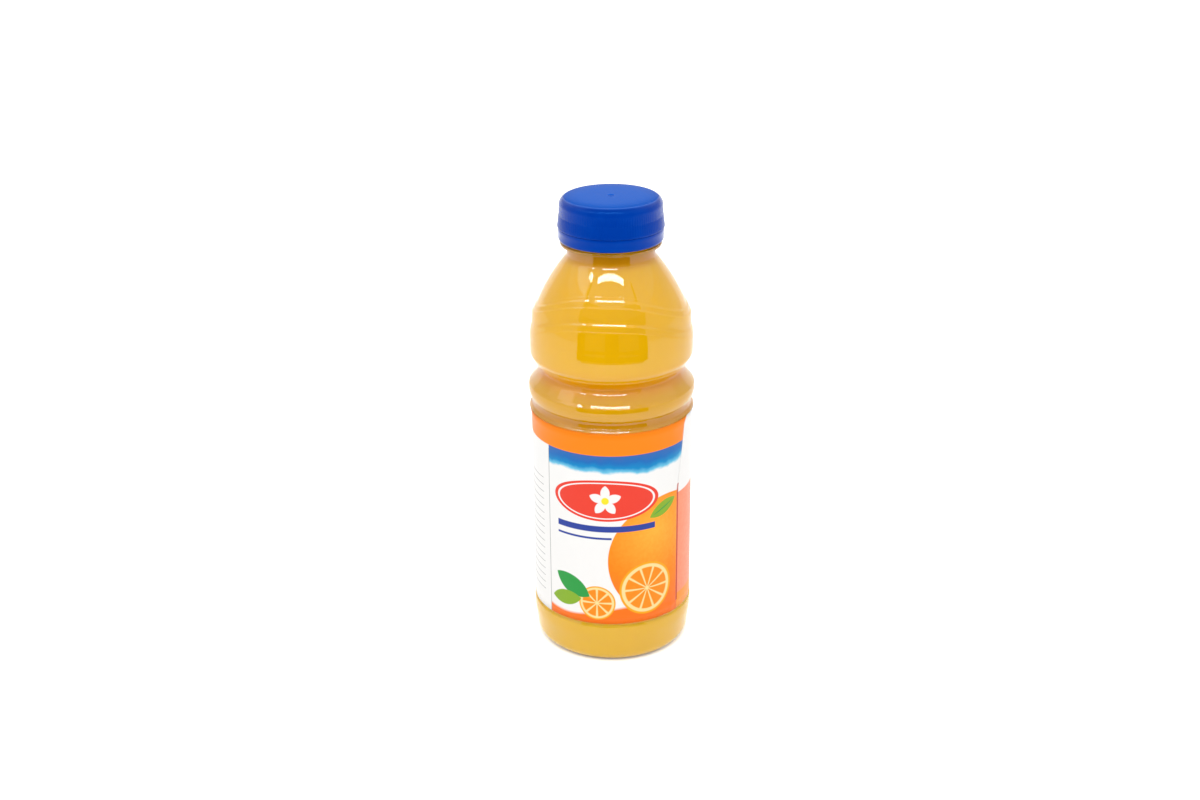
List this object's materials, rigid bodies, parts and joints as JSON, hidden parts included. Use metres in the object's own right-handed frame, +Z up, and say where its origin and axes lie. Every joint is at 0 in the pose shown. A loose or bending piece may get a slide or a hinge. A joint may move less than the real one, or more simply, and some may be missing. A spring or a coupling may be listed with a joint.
{
  "type": "juice bottle",
  "caption": "Clear bottle full of orange juice, with a wavy shoulder, a narrow waist, a wrap-round label and a blue screw cap over its tamper band.",
  "frame": {"origin": "middle of the ring that the bottle stands on, at floor height", "axes": "+Z up along the bottle's axis; -Y towards the front of the label"},
  "size_m": [0.0656, 0.0656, 0.1855],
  "materials": {
    "clear_plastic": "clear, glossy blow-moulded PET",
    "juice": null,
    "label_film": "printed film with a smooth semi-gloss face: white, orange and blue",
    "cap_plastic": "blue moulded plastic with a satin gloss",
    "band_plastic": "blue moulded plastic with a satin gloss, as the cap"
  },
  "bodies": {
    "root": {"bottle": "clear_plastic", "juice": "juice", "label": "label_film", "cap": "cap_plastic", "tamper_band": "band_plastic"}
  },
  "joints": []
}
